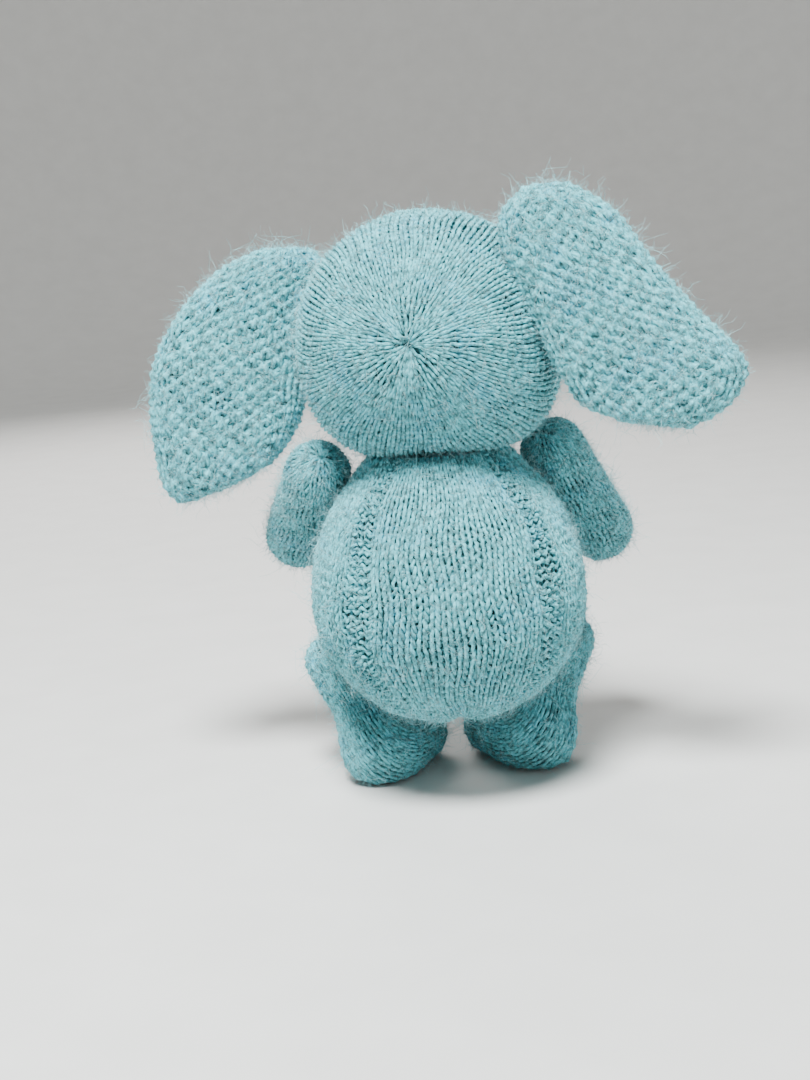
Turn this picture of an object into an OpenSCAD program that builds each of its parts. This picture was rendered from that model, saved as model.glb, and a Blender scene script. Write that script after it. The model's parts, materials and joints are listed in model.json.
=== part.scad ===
// Small knitted elephant with a disc-jointed neck, shoulders and hips.
// Millimetres. +Z up, the face looks along -Y, the origin lies on the floor between the feet.

/* [Torso] */
// Widest radius of the egg-shaped torso
torso_r = 25.4; // [24:0.1:26.5]
// Height of the widest part above the floor
torso_z = 37; // [36:0.5:38]
// Height from the widest part to the bottom
torso_low = 24.2; // [23:0.1:25]
// Height from the widest part to the untrimmed top
torso_high = 29.5; // [28.5:0.1:30.5]
// Height of the flat that the head sits on
neck_z = 62.8; // [62:0.1:63.5]

/* [Head] */
// Half width of the head
head_rx = 23.9; // [23.2:0.1:24.6]
// Half depth of the head, crown to centre
head_ry = 22.6; // [22:0.1:23.4]
// Half height of the head
head_rz = 22.3; // [22:0.1:22.8]
// Height of the head's centre above the floor
head_z = 85; // [84.8:0.1:85.2]
// Turn of the head in the rest pose, crown towards the left arm
head_yaw = 12; // [0:1:20]
// Angle from the crown at which the head runs into the trunk
brow_angle = 140; // [136:1:144]
// How far the face centre drops towards the trunk
face_drop = 3; // [2:0.1:4]
// Fullness of the head's underside, 0 for an oval
jowl = 0.28; // [0:0.02:0.3]

/* [Trunk] */
// Radius of the trunk near the face
trunk_base_r = 8.2; // [7.5:0.1:9]
// Radius of the trunk near its tip
trunk_tip_r = 4.8; // [4.2:0.1:5.4]
// Reach of the trunk's tip in front of the neck axis
trunk_reach = 44; // [41:0.5:46]
// Height of the trunk's tip
trunk_tip_z = 79.5; // [78:0.5:82]

/* [Ears] */
// Half thickness of an ear along its free rim
ear_rim_r = 3.4; // [3:0.1:3.8]
// Half thickness of an ear in its middle
ear_belly_r = 4.4; // [4:0.1:4.8]
// Half thickness of an ear along its sewn edge
ear_root_r = 2.8; // [2.4:0.1:3]
// Lean of the left ear's sewn edge from vertical
left_ear_lean = 13; // [12:1:15]
// Lean of the right ear's sewn edge from vertical
right_ear_lean = 15; // [13:1:17]
// How far the left ear is sewn on behind the side of the head, negative towards the face
left_ear_set_back = -14; // [-18:1:-8]
// How far the right ear is sewn on behind the side of the head
right_ear_set_back = 26; // [20:1:30]

/* [Arms] */
// Radius of the arm at the shoulder
arm_top_r = 6.2; // [5.8:0.1:6.4]
// Radius of the arm at the paw
arm_end_r = 6.7; // [6:0.1:7]
// Distance between the centres of the arm's two round ends
arm_length = 24; // [22:0.5:25]
// Tilt of the shoulder face above the horizon
shoulder_tilt = 35; // [32:1:38]
// Angle of the shoulders forward of the side seams
shoulder_azimuth = 20; // [16:1:24]
// Forward swing of the left arm in the rest pose
left_arm_swing = 40; // [20:5:60]
// Forward swing of the right arm in the rest pose
right_arm_swing = 22; // [20:2:60]

/* [Legs] */
// Radius of the leg at the hip
leg_top_r = 5.7; // [5.5:0.1:5.9]
// Radius of the leg at the ankle
leg_ankle_r = 6.3; // [6:0.1:6.6]
// Radius of the foot
foot_r = 7; // [6.8:0.1:7.2]
// Height of the foot's centre line above its flat sole
foot_z = 5.7; // [5.4:0.1:6]
// Tilt of the hip face below the horizon
hip_tilt = 39; // [38:1:41]
// Angle of the hips forward of the side seams
hip_azimuth = 32; // [28:1:34]

/* [Knitting and seams] */
// Thickness of the knitted fabric
cover_t = 1.1; // [0.9:0.1:1.2]
// Gap between two pieces that turn against each other
turn_gap = 0.3; // [0.3:0.05:0.4]
// Radius of the sewing yarn
yarn_r = 0.4; // [0.3:0.05:0.5]

/* [Joint discs and pins] */
// Radius of the fibreboard discs
disc_r = 3; // [2.8:0.1:3.2]
// Thickness of the fibreboard discs
disc_t = 1; // [0.8:0.1:1.1]
// Radius of the steel washers
washer_r = 1.8; // [1.6:0.1:2]
// Thickness of the steel washers
washer_t = 0.3; // [0.3:0.05:0.4]
// Radius of the cotter pin's shank
pin_r = 0.5; // [0.45:0.05:0.6]

/* [Eyes] */
// Radius of the bead eyes
eye_r = 1.7; // [1.4:0.1:2]
// Angle of the eyes from the crown
eye_angle = 132; // [128:1:136]
// Angle of the eyes above the middle of the face
eye_lift = 40; // [34:1:46]

/* [Hidden] */

LEFT = 1;
RIGHT = -1;

wool = [0.53, 0.72, 0.75];
wool_light = [0.60, 0.78, 0.80];
fibrefill = [0.93, 0.93, 0.90];
fibreboard = [0.62, 0.47, 0.31];
steel = [0.75, 0.76, 0.78];
bead = [0.04, 0.04, 0.05];

round_fn = 64;         // facets asked for on true round surfaces
profile_steps = 20;    // points along each curved part of a turned profile
head_sides = 32;       // points in one ring of the head
head_rings = 15;       // rings from the crown to the brow
trunk_rings = 13;      // rings from the brow to the trunk's tip
fillet_power = 8;      // how quickly the face narrows into the trunk
tip_round = 0.88;      // share of the trunk's length before its rounded end

bore_gap = 0.05;       // running clearance of a disc or washer on its pin
stack_gap = 0.05;      // air between pieces stacked on one pin
curl_gap = 0.12;       // air between a turning washer and the pin's curled ends
pin_hole_r = pin_r + 0.4;
pocket_r = disc_r + 0.3;
eye_sink = 1.2;        // depth of a bead below the knitted surface
thread_r = 0.25;
far = 100;             // half side of the blocks that trim a solid

head_floor = neck_z + turn_gap;

// Centres of the round edge of each ear, from the head's centre, [outwards, up],
// starting after the sewn edge's upper end and ending before its lower end.
left_ear_rim = [[32.5, 13.2], [41, 8.8], [47.8, 1.7], [51.9, -8], [52.2, -22], [49.6, -26.2],
  [40.5, -23], [33.8, -19.8]];
right_ear_rim = [[26, 21.6], [30.5, 19.5], [51.6, -5.5], [52, -9.3], [51, -11], [46, -14.8],
  [40.8, -15.8], [32.5, -11.8]];
left_ear_belly = [40, -6];
right_ear_belly = [36, 0];
// How far the sewn edge runs above and below the point that touches the head.
left_ear_root = [10, 20.5];
right_ear_root = [16, 16.5];

// ---------- helpers ----------

function unit(v) = v / norm(v);

function smooth(t) = let (c = max(0, min(1, t))) c * c * (3 - 2 * c);

// Point of the torso's outer surface whose outward normal is tilted up by `tilt`, as [radius, z].
function torso_point(tilt) =
  let (h = tilt > 0 ? torso_high : torso_low,
       k = sqrt(pow(torso_r * cos(tilt), 2) + pow(h * sin(tilt), 2)))
  [torso_r * torso_r * cos(tilt) / k, torso_z + h * h * sin(tilt) / k];

// A limb joint's frame on the left side: origin on the torso, local Z out of the torso,
// local X down the limb.
function joint_out(tilt, azimuth) =
  [cos(tilt) * cos(azimuth), -cos(tilt) * sin(azimuth), sin(tilt)];
function joint_down(tilt, azimuth) =
  [sin(tilt) * cos(azimuth), -sin(tilt) * sin(azimuth), -cos(tilt)];
function joint_ahead(azimuth) = [-sin(azimuth), -cos(azimuth), 0];
function joint_matrix(tilt, azimuth, swing) =
  let (p = torso_point(tilt),
       o = [p[0] * cos(azimuth), -p[0] * sin(azimuth), p[1]],
       n = joint_out(tilt, azimuth),
       d = cos(swing) * joint_down(tilt, azimuth) + sin(swing) * joint_ahead(azimuth),
       b = cross(n, d))
  [[d[0], b[0], n[0], o[0]], [d[1], b[1], n[1], o[1]], [d[2], b[2], n[2], o[2]], [0, 0, 0, 1]];

module mirrored(side) {
  mirror([side == RIGHT ? 1 : 0, 0, 0]) children();
}

module at_shoulder(side) {
  swing = side == LEFT ? left_arm_swing : right_arm_swing;
  mirrored(side) multmatrix(joint_matrix(shoulder_tilt, shoulder_azimuth, swing)) children();
}

module at_hip(side) {
  mirrored(side) multmatrix(joint_matrix(-hip_tilt, hip_azimuth, 0)) children();
}

module at_neck() {
  translate([0, 0, neck_z]) children();
}

// The head's own frame: same axes, turned about the neck.
module in_head() {
  rotate([0, 0, -head_yaw]) children();
}

// A round bar with round ends from p to q, as a turned solid.
module capsule(p, q, r1, r2) {
  length = norm(q - p);
  lean = asin((r1 - r2) / length);
  axis = unit(q - p);
  profile = concat(
    [for (i = [0:profile_steps])
      let (a = -90 + i * (90 + lean) / profile_steps) [r1 * cos(a), r1 * sin(a)]],
    [for (i = [0:profile_steps])
      let (a = lean + i * (90 - lean) / profile_steps) [r2 * cos(a), length + r2 * sin(a)]]);
  translate(p)
    rotate([0, acos(axis[2]), atan2(axis[1], axis[0])])
      rotate_extrude($fn = round_fn) polygon(profile);
}

// Everything beyond the height z along the local Z axis.
module beyond(z) {
  translate([-far, -far, z]) cube([2 * far, 2 * far, far]);
}

// ---------- jointing hardware, drawn along local Z with the torso's surface at 0 ----------

// Depth of the disc behind a curved wall of inner radius `wall_r`, so its rim stays inside.
function disc_seat(wall_r) = wall_r - sqrt(wall_r * wall_r - disc_r * disc_r);

limb_disc_z = turn_gap + cover_t + 0.7;
limb_washer_z = limb_disc_z + disc_t + stack_gap;
limb_curl_z = limb_washer_z + washer_t + curl_gap;
body_disc_z = -(cover_t + disc_seat(torso_low - cover_t) + stack_gap + disc_t);
body_washer_z = body_disc_z - stack_gap - washer_t;
body_head_z = body_washer_z - stack_gap;
curl_r = 0.75;
curl_wire_r = 0.35;

module disc(z) {
  color(fibreboard) translate([0, 0, z]) difference() {
    cylinder(r = disc_r, h = disc_t, $fn = round_fn);
    translate([0, 0, -1]) cylinder(r = pin_r + bore_gap, h = disc_t + 2, $fn = round_fn);
  }
}

module washer(z) {
  color(steel) translate([0, 0, z]) difference() {
    cylinder(r = washer_r, h = washer_t, $fn = round_fn);
    translate([0, 0, -1]) cylinder(r = pin_r + bore_gap, h = washer_t + 2, $fn = round_fn);
  }
}

// T-headed cotter pin: a crossbar inside the torso, a shank, and two curled ends in the limb.
module cotter_pin() {
  bar_r = 0.45;
  top_z = limb_curl_z + curl_r + curl_wire_r;
  color(steel) union() {
    translate([0, 0, body_head_z - bar_r]) rotate([0, 90, 0])
      translate([0, 0, -1.6]) cylinder(r = bar_r, h = 3.2, $fn = round_fn);
    translate([0, 0, body_head_z - bar_r])
      cylinder(r = pin_r, h = top_z - body_head_z + bar_r, $fn = round_fn);
    for (s = [-1, 1])
      translate([s * (curl_r + 0.1), 0, top_z]) rotate([90, 0, 0])
        rotate_extrude($fn = 32) translate([curl_r, 0]) circle(r = curl_wire_r, $fn = 24);
  }
}

// Room in the stuffing for the hardware on the torso's side and on the limb's side.
module body_pocket() {
  translate([0, 0, body_head_z - 1.5])
    cylinder(r = pocket_r, h = -body_head_z + 1.5, $fn = round_fn);
}

module limb_pocket() {
  cylinder(r = pocket_r, h = limb_curl_z + 2 * (curl_r + curl_wire_r) + 0.5, $fn = round_fn);
}

module pin_hole() {
  translate([0, 0, -4]) cylinder(r = pin_hole_r, h = 8, $fn = round_fn);
}

// ---------- torso ----------

// The egg, shrunk all round by `inset`, cut flat at the top.
module torso_egg(inset) {
  top = neck_z - inset;
  top_angle = asin((top - torso_z) / (torso_high - inset));
  r = torso_r - inset;
  low = [for (i = [0:profile_steps]) let (a = -90 + i * 90 / profile_steps)
    [r * cos(a), torso_z + (torso_low - inset) * sin(a)]];
  high = [for (i = [1:profile_steps]) let (a = i * top_angle / profile_steps)
    [r * cos(a), torso_z + (torso_high - inset) * sin(a)]];
  rotate_extrude($fn = round_fn) polygon(concat(low, high, [[0, top]]));
}

module at_every_joint() {
  at_neck() children();
  for (side = [LEFT, RIGHT]) {
    at_shoulder(side) children();
    at_hip(side) children();
  }
}

module torso_cover() {
  color(wool) difference() {
    torso_egg(0);
    torso_egg(cover_t);
    at_every_joint() pin_hole();
  }
}

module torso_stuffing() {
  color(fibrefill) difference() {
    torso_egg(cover_t + stack_gap);
    at_every_joint() body_pocket();
  }
}

// ---------- head and trunk ----------

// Bezier curve of the trunk's centre line in the [y, z] plane.
trunk_start = [head_ry * cos(brow_angle), head_z - face_drop];
trunk_bend_1 = trunk_start + [-8, -2.7];
trunk_bend_2 = [10 - trunk_reach, trunk_tip_z - 8.5];
trunk_end = [-trunk_reach, trunk_tip_z];

function trunk_point(u) =
  pow(1 - u, 3) * trunk_start + 3 * u * pow(1 - u, 2) * trunk_bend_1
  + 3 * u * u * (1 - u) * trunk_bend_2 + pow(u, 3) * trunk_end;
function trunk_heading(u) =
  let (v = trunk_point(u + 0.01) - trunk_point(u - 0.01)) atan2(v[1], -v[0]);
function trunk_radius(u, join) =
  trunk_tip_r + (trunk_base_r - trunk_tip_r) * (1 - u)
  + (join - trunk_base_r) * pow(1 - u, fillet_power);
function tip_factor(u) =
  u < tip_round ? 1 : sqrt(max(0, 1 - pow((u - tip_round) / (1 - tip_round), 2)));

// A ring is [y, z, pitch, half width, half height, power that rounds its lower half].
function head_ring(angle, inset) =
  [(head_ry - inset) * cos(angle),
   head_z - face_drop * smooth((angle - 80) / (brow_angle - 80)),
   0,
   (head_rx - inset) * sin(angle),
   (head_rz - inset) * sin(angle),
   1 - jowl * smooth(angle / 60) * (1 - smooth((angle - 100) / (brow_angle - 100)))];
function trunk_ring(u, inset) =
  let (p = trunk_point(u),
       taper = tip_factor(u),
       wide = trunk_radius(u, head_rx * sin(brow_angle)),
       tall = trunk_radius(u, head_rz * sin(brow_angle)))
  [p[0], p[1], trunk_heading(u) * smooth(u / 0.35),
   (wide - inset) * taper, (tall - inset) * taper, 1];

function head_rings_list(inset) = concat(
  [for (i = [1:head_rings]) head_ring(i * brow_angle / head_rings, inset)],
  [for (i = [1:trunk_rings]) trunk_ring((i - 0.35) / trunk_rings * (1 - inset * 0.02), inset)]);

function ring_points(ring, inset) =
  [for (k = [0:head_sides - 1])
    let (a = 360 * k / head_sides,
         power = sin(a) < 0 ? ring[5] : 1,
         x = ring[3] * sign(cos(a)) * pow(abs(cos(a)), power),
         h = ring[4] * sign(sin(a)) * pow(abs(sin(a)), power),
         y = ring[0] + h * sin(ring[2]),
         z = ring[1] + h * cos(ring[2]))
    [x, y, max(z, head_floor + inset)]];

// The head and trunk as one closed skin, shrunk all round by `inset`.
module head_form(inset) {
  rings = head_rings_list(inset);
  n = len(rings);
  tip = trunk_point(1 - inset / 34);
  points = concat(
    [[0, head_ry - inset, head_z]],
    [for (ring = rings) each ring_points(ring, inset)],
    [[0, tip[0], tip[1]]]);
  last = len(points) - 1;
  side = head_sides;
  faces = concat(
    [for (k = [0:side - 1]) [0, 1 + k, 1 + (k + 1) % side]],
    [for (i = [0:n - 2]) for (k = [0:side - 1])
      let (a = 1 + i * side + k, b = 1 + i * side + (k + 1) % side)
      [a, a + side, b + side, b]],
    [for (k = [0:side - 1])
      [last, 1 + (n - 1) * side + (k + 1) % side, 1 + (n - 1) * side + k]]);
  polyhedron(points, faces, convexity = 6);
}

// Middle of the bead on side s, and the direction it looks in.
function eye_surface(s) =
  let (ring = head_ring(eye_angle, 0))
  [s * ring[3] * cos(eye_lift), ring[0], ring[1] + ring[4] * sin(eye_lift)];
function eye_centre(s) =
  let (p = eye_surface(s), out = unit([p[0], p[1], p[2] - head_z])) p - out * (eye_sink - eye_r);

module eye(s) {
  color(bead) in_head() translate(eye_centre(s)) sphere(r = eye_r, $fn = 32);
}

module eye_sockets() {
  for (s = [-1, 1])
    translate(eye_centre(s)) sphere(r = eye_r + stack_gap, $fn = 32);
}

// The strand that ties the two beads together through the stuffing.
module eye_strand(r) {
  c = eye_centre(1);
  half = c[0] - eye_r - stack_gap;
  translate([-half, c[1], c[2]]) rotate([0, 90, 0]) cylinder(r = r, h = 2 * half, $fn = 24);
}

module eye_thread() {
  color(bead) in_head() eye_strand(thread_r);
}

module head_cover() {
  color(wool) in_head() difference() {
    head_form(0);
    head_form(cover_t);
    at_neck() pin_hole();
    eye_sockets();
    eye_strand(thread_r + stack_gap);
  }
}

module head_stuffing() {
  color(fibrefill) in_head() difference() {
    head_form(cover_t + stack_gap);
    at_neck() limb_pocket();
    eye_sockets();
    eye_strand(thread_r + stack_gap);
  }
}

// ---------- ears ----------

function ear_lean(side) = side == LEFT ? left_ear_lean : right_ear_lean;
function ear_set_back(side) = side == LEFT ? left_ear_set_back : right_ear_set_back;
function ear_root(side) = side == LEFT ? left_ear_root : right_ear_root;
function ear_rim(side) = side == LEFT ? left_ear_rim : right_ear_rim;
function ear_belly(side) = side == LEFT ? left_ear_belly : right_ear_belly;

// Middle of the sewn edge: clear of the plane that touches the head in the direction `out`.
function root_middle(side) =
  let (lean = ear_lean(side),
       back = ear_set_back(side),
       out = [cos(back) * cos(lean), sin(back), cos(back) * sin(lean)],
       radii = [head_rx, head_ry, head_rz],
       reach = norm([for (i = [0:2]) radii[i] * out[i]]))
  [for (i = [0:2]) radii[i] * radii[i] * out[i] / reach + (turn_gap + ear_root_r) * out[i]];
function root_point(side, along) =
  root_middle(side) + along * [sin(ear_lean(side)), 0, -cos(ear_lean(side))];
// The ear hangs in the plane y = ear_y(side) of the head's own frame.
function ear_y(side) = root_middle(side)[1];

module at_head_centre() {
  translate([0, 0, head_z]) children();
}

module ear_form(side, inset) {
  y = ear_y(side);
  belly = ear_belly(side);
  at_head_centre() hull() {
    for (along = [-ear_root(side)[0], ear_root(side)[1]])
      translate(root_point(side, along)) sphere(r = ear_root_r - inset, $fn = 16);
    for (p = ear_rim(side))
      translate([p[0], y, p[1]]) sphere(r = ear_rim_r - inset, $fn = 16);
    translate([belly[0], y, belly[1]]) sphere(r = ear_belly_r - inset, $fn = 24);
  }
}

// Yarn that sews the ear on; the ear folds about it.
module root_yarn(side, r, extra) {
  root = ear_root(side);
  at_head_centre() translate(root_point(side, root[1] + extra))
    rotate([0, -ear_lean(side), 0])
      cylinder(r = r, h = root[0] + root[1] + 2 * extra, $fn = 24);
}

module ear_panel(side, facing) {
  y = ear_y(side);
  cut_y = facing > 0 ? y + stack_gap / 2 - 2 * far : y - stack_gap / 2;
  color(facing > 0 ? wool : wool_light) in_head() mirrored(side) difference() {
    ear_form(side, 0);
    ear_form(side, cover_t);
    root_yarn(side, yarn_r + bore_gap, ear_root_r + 2);
    translate([-far, cut_y, 0]) cube([2 * far, 2 * far, 2 * far]);
  }
}

module ear_wadding(side) {
  color(fibrefill) in_head() mirrored(side) difference() {
    ear_form(side, cover_t + stack_gap);
    root_yarn(side, yarn_r + bore_gap, ear_root_r + 2);
  }
}

module ear_seam_yarn(side) {
  color(wool_light) in_head() mirrored(side) root_yarn(side, yarn_r, ear_root_r + 0.6);
}

// ---------- arms ----------

arm_line_z = turn_gap + arm_top_r - 0.7;   // the arm's axis above the torso's surface
arm_head_x = -2.5;                         // the arm reaches this far behind its pin

module arm_form(inset) {
  difference() {
    capsule([arm_head_x, 0, arm_line_z],
            [arm_head_x + arm_length, 0, turn_gap + arm_end_r - 0.5],
            arm_top_r - inset, arm_end_r - inset);
    mirror([0, 0, 1]) beyond(-turn_gap - inset);
  }
}

module arm_cover(side) {
  color(wool) at_shoulder(side) difference() {
    arm_form(0);
    arm_form(cover_t);
    pin_hole();
  }
}

module arm_stuffing(side) {
  color(fibrefill) at_shoulder(side) difference() {
    arm_form(cover_t + stack_gap);
    limb_pocket();
  }
}

// ---------- legs ----------

leg_line_z = turn_gap + leg_top_r - 0.4;   // the leg's axis above the torso's surface at the hip
foot_line_z = turn_gap + foot_r;           // the foot's axis stays clear of the torso's plane
leg_head_x = -4;                           // the leg reaches this far above its pin
heel_back = 3.5;                           // the foot's two ends, behind and ahead of the ankle
toe_ahead = 9.5;

// Drop of the foot's centre line below the hip, measured down the leg.
foot_x = (torso_point(-hip_tilt)[1] - foot_z - foot_line_z * sin(hip_tilt)) / cos(hip_tilt);

module leg_form(inset) {
  difference() {
    union() {
      capsule([leg_head_x, 0, leg_line_z], [foot_x - 1, 0, foot_line_z - 0.5],
              leg_top_r - inset, leg_ankle_r - inset);
      capsule([foot_x, heel_back, foot_line_z], [foot_x, -toe_ahead, foot_line_z],
              foot_r - inset, foot_r - inset - 0.01);
    }
    mirror([0, 0, 1]) beyond(-turn_gap - inset);
  }
}

// The leg in place, with its sole cut flat on the floor.
module leg_in_place(side, inset) {
  difference() {
    at_hip(side) leg_form(inset);
    mirror([0, 0, 1]) beyond(-inset);
  }
}

module leg_cover(side) {
  color(wool) difference() {
    leg_in_place(side, 0);
    leg_in_place(side, cover_t);
    at_hip(side) pin_hole();
  }
}

module leg_stuffing(side) {
  color(fibrefill) difference() {
    leg_in_place(side, cover_t + stack_gap);
    at_hip(side) limb_pocket();
  }
}

// ---------- nodes ----------

torso_cover();
torso_stuffing();

at_neck() cotter_pin();  // neck_pin
at_neck() disc(body_disc_z);  // neck_body_disc
at_neck() washer(body_washer_z);  // neck_body_washer
at_shoulder(LEFT) cotter_pin();  // left_shoulder_pin
at_shoulder(LEFT) disc(body_disc_z);  // left_shoulder_body_disc
at_shoulder(LEFT) washer(body_washer_z);  // left_shoulder_body_washer
at_shoulder(RIGHT) cotter_pin();  // right_shoulder_pin
at_shoulder(RIGHT) disc(body_disc_z);  // right_shoulder_body_disc
at_shoulder(RIGHT) washer(body_washer_z);  // right_shoulder_body_washer
at_hip(LEFT) cotter_pin();  // left_hip_pin
at_hip(LEFT) disc(body_disc_z);  // left_hip_body_disc
at_hip(LEFT) washer(body_washer_z);  // left_hip_body_washer
at_hip(RIGHT) cotter_pin();  // right_hip_pin
at_hip(RIGHT) disc(body_disc_z);  // right_hip_body_disc
at_hip(RIGHT) washer(body_washer_z);  // right_hip_body_washer

head_cover();
head_stuffing();
at_neck() disc(limb_disc_z);  // head_disc
at_neck() washer(limb_washer_z);  // head_washer
eye(1);  // left_eye
eye(-1);  // right_eye
eye_thread();

ear_panel(LEFT, 1);  // left_ear_back
ear_panel(LEFT, -1);  // left_ear_front
ear_wadding(LEFT);  // left_ear_wadding
ear_seam_yarn(LEFT);  // left_ear_seam_yarn
ear_panel(RIGHT, 1);  // right_ear_back
ear_panel(RIGHT, -1);  // right_ear_front
ear_wadding(RIGHT);  // right_ear_wadding
ear_seam_yarn(RIGHT);  // right_ear_seam_yarn

arm_cover(LEFT);  // left_arm_cover
arm_stuffing(LEFT);  // left_arm_stuffing
at_shoulder(LEFT) disc(limb_disc_z);  // left_arm_disc
at_shoulder(LEFT) washer(limb_washer_z);  // left_arm_washer
arm_cover(RIGHT);  // right_arm_cover
arm_stuffing(RIGHT);  // right_arm_stuffing
at_shoulder(RIGHT) disc(limb_disc_z);  // right_arm_disc
at_shoulder(RIGHT) washer(limb_washer_z);  // right_arm_washer

leg_cover(LEFT);  // left_leg_cover
leg_stuffing(LEFT);  // left_leg_stuffing
at_hip(LEFT) disc(limb_disc_z);  // left_leg_disc
at_hip(LEFT) washer(limb_washer_z);  // left_leg_washer
leg_cover(RIGHT);  // right_leg_cover
leg_stuffing(RIGHT);  // right_leg_stuffing
at_hip(RIGHT) disc(limb_disc_z);  // right_leg_disc
at_hip(RIGHT) washer(limb_washer_z);  // right_leg_washer
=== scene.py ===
import json
import math

import bpy
import numpy as np
from mathutils import Matrix, Vector


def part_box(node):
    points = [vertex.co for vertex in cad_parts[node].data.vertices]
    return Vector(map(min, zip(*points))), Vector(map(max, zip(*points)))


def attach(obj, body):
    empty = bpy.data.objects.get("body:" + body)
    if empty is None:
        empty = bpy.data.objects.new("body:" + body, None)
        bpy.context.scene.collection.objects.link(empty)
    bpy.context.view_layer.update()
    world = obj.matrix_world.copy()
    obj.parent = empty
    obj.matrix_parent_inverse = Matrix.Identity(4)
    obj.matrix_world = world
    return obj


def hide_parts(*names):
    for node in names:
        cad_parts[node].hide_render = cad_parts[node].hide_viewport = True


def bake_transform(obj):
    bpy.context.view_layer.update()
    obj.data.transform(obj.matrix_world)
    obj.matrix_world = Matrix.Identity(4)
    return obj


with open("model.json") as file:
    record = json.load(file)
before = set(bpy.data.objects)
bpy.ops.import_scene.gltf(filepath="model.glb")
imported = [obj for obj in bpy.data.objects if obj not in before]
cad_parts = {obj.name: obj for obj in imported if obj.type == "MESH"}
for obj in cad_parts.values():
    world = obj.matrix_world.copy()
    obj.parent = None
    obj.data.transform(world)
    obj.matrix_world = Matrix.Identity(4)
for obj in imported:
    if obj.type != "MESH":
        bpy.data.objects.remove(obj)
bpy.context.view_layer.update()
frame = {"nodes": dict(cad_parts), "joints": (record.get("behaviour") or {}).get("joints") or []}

# A small knitted elephant. Lengths here are millimetres, in the toy's own frame: Z up, the face
# looks along -Y, the floor is z = 0. MM turns them into Blender's metres.
MM = 0.001
LEFT, RIGHT = 1, -1
rng = np.random.default_rng(7)

# ---------- dimensions that the knitted surfaces share with the CAD bodies ----------

torso_low_corner, torso_high_corner = (np.array(c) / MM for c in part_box("torso_cover"))
torso_r = torso_high_corner[0]
torso_z = 37.0
torso_low = torso_z - torso_low_corner[2]
torso_high = 29.5
neck_z = torso_high_corner[2]

head_rx, head_ry, head_rz = 23.9, 22.6, 22.3
head_z = 85.0
head_yaw = math.radians(12)
head_floor = neck_z + 0.3
brow_angle = math.radians(140)
face_drop = 3.0
jowl = 0.28             # fullness of the head's underside
jowl_full, jowl_fade = 60, 100   # degrees from the crown where it is full, and where it fades
drop_from = 80          # degrees from the crown where the face starts to drop
trunk_base_r, trunk_tip_r = 8.2, 4.8
trunk_start = np.array([head_ry * math.cos(brow_angle), head_z - face_drop])
trunk_bend_1 = trunk_start + [-8, -2.7]
trunk_bend_2 = np.array([-34, 71.0])
trunk_end = np.array([-44, 79.5])
trunk_fillet_power = 8
trunk_round = 0.88

shoulder_tilt, shoulder_azimuth = math.radians(35), math.radians(20)
arm_swing = {LEFT: math.radians(40), RIGHT: math.radians(22)}
arm_top_r, arm_end_r = 6.2, 6.7
arm_head_x, arm_length = -2.5, 24.0
arm_top_z, arm_end_z = 5.8, 6.5

hip_tilt, hip_azimuth = math.radians(-39), math.radians(32)
leg_top_r, leg_ankle_r, foot_r = 5.7, 6.3, 7.0
leg_head_x, leg_top_z, ankle_z, foot_line_z = -4.0, 5.6, 6.8, 7.3
foot_z = 5.7
heel_back, toe_ahead = 3.5, 9.5
turn_gap = 0.3

# ---------- yarn ----------

STITCH_W = 2.05        # width of one stitch
ROW_H = 1.5            # height of one row
STITCH_POINTS = 8      # points of yarn in one stitch
YARN_SIDES = 5
MIN_STITCH = 1.05      # narrower stitches are knitted together
DECREASE = 2 / 3       # the share of stitches left after such a row
SHALLOWEST, DEEPEST = -0.1, 1.0   # between these depths the yarn is painted from light to dark: painted highlight on the crests, painted shade deeper down
LOOP_LEAN = 1.42       # how far the legs of a loop lean
LOOP_REACH = 0.86      # how far a loop reaches up and down from its row, in rows
UNEVEN = 0.15          # how unevenly the stitches are sized
STRAY = 0.05           # how far each point of the yarn strays
YARN_SINK = 0.45       # depth of the yarn's centre line below the knitted surface
SKIN_SINK = 0.8        # depth of the felted inside of the fabric
FILL_SINK = 1.4        # depth of the filling in an ear
HAIR_R, HAIR_STEPS, HAIR_SIDES = 0.036, 5, 3
HAIR_ROOT = 0.12       # the share of a fibre that starts below the surface
LONG_HAIR = 2.3        # how much longer the long fibres are
FABRIC_FLOOR, HAIR_FLOOR = 0.05, 0.02   # nothing of either lies lower than this

WOOL = (0.055, 0.335, 0.39)
WOOL_PALE = (0.22, 0.76, 0.85)
WOOL_BLUE = (0.03, 0.29, 0.43)
WOOL_GREY = (0.06, 0.15, 0.16)
WOOL_LOOSE = ((0.15, 0.42, 0.46), (0.46, 0.80, 0.84))   # the stray fibres, dark to pale
VALLEY_PAINTED_SHADE = (0.36, 0.28, 0.27)   # painted shade: the yarn is multiplied by this where it dips into the fabric
SKIN_PAINTED_SHADE = 0.25      # painted shade: the wool between the stitches is painted this dark, as a share of its colour


def smooth(t):
    t = np.clip(t, 0, 1)
    return t * t * (3 - 2 * t)


def unit(v):
    return v / np.maximum(np.linalg.norm(v, axis=-1, keepdims=True), 1e-9)


# ---------- materials ----------


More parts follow.
